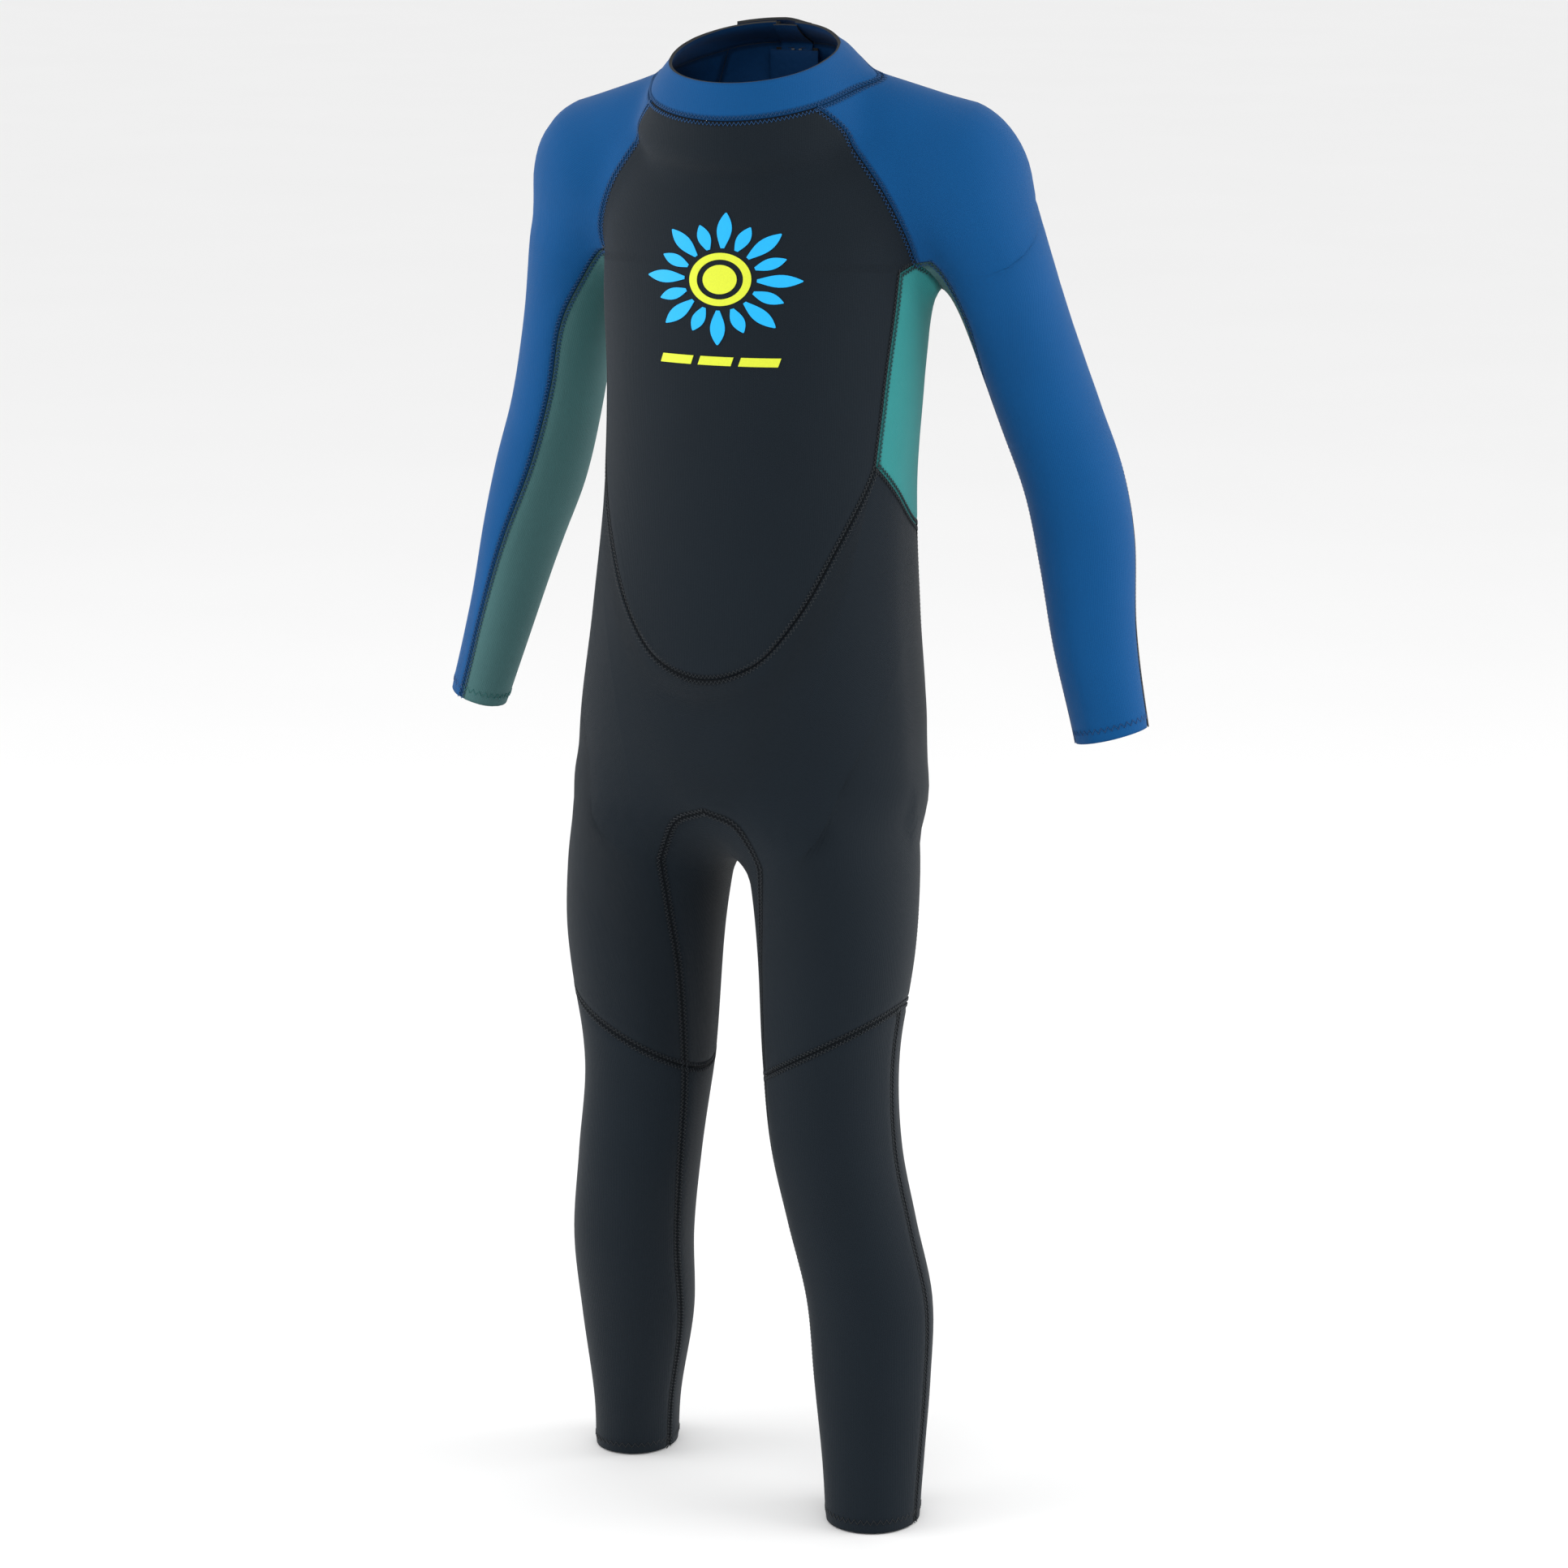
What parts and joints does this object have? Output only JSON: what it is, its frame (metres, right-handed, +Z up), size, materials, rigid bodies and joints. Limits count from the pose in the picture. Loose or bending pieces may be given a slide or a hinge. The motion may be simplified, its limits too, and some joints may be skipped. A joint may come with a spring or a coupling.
{
  "type": "full wetsuit",
  "caption": "Child's full wetsuit in thin neoprene, with raglan sleeves, a back zip and a neck tab, standing in its worn shape.",
  "frame": {"origin": "crotch point on the suit's middle plane, between the legs, where the wearer's trunk ends", "axes": "+Z up along the standing wearer, -Y out of the chest, +X towards the wearer's left"},
  "size_m": [0.4012, 0.1617, 0.7877],
  "materials": {
    "slate_neoprene": "matte jersey-lined neoprene",
    "blue_neoprene": "matte jersey-lined neoprene",
    "teal_neoprene": "matte jersey-lined neoprene",
    "zip_tape": "woven polyester tape",
    "zip_teeth": "moulded acetal, satin",
    "zip_metal": "black coated zinc",
    "pull_plastic": "moulded, satin",
    "hook_and_loop": "woven hook and loop tape"
  },
  "bodies": {
    "suit": {"chest_panel": "slate_neoprene", "hip_panel": "slate_neoprene", "seat_panel": "slate_neoprene", "crotch_gusset": "slate_neoprene", "shin_panel_left": "slate_neoprene", "shin_panel_right": "slate_neoprene", "back_panel_left": "slate_neoprene", "back_panel_right": "slate_neoprene", "calf_panel_left": "slate_neoprene", "calf_panel_right": "slate_neoprene", "sleeve_rear_left": "slate_neoprene", "sleeve_rear_right": "slate_neoprene", "zip_guard": "slate_neoprene", "collar": "blue_neoprene", "sleeve_outer_left": "blue_neoprene", "sleeve_outer_right": "blue_neoprene", "side_panel_left": "teal_neoprene", "side_panel_right": "teal_neoprene", "sleeve_inner_left": "teal_neoprene", "sleeve_inner_right": "teal_neoprene", "zip_tape_left": "zip_tape", "zip_tape_right": "zip_tape", "zip_teeth_left": "zip_teeth", "zip_teeth_right": "zip_teeth", "zip_top_stop_left": "zip_metal", "zip_top_stop_right": "zip_metal", "zip_bottom_stop": "zip_metal", "neck_loop_patch": "hook_and_loop"},
    "slider": {"zip_slider": "zip_metal"},
    "pull": {"zip_pull_tab": "pull_plastic"},
    "tab": {"neck_tab": "slate_neoprene", "neck_tab_hook_patch": "hook_and_loop"}
  },
  "joints": [
    {"name": "zip_slide", "type": "slide", "parent": "suit", "child": "slider", "axis": [0, 0.027, -0.9996], "range_m": [0, 0.24], "deforming": ["zip_teeth_left", "zip_teeth_right"]},
    {"name": "pull_swing", "type": "hinge", "parent": "slider", "child": "pull", "pos_m": [0, 0.07144, 0.40594], "axis": [1, 0, 0], "range_deg": [0, 150]},
    {"name": "neck_tab_hinge", "type": "hinge", "parent": "suit", "child": "tab", "pos_m": [0.01465, 0.05882, 0.42402], "axis": [0.2013, 0.8632, -0.4629], "range_deg": [0, 85]}
  ]
}
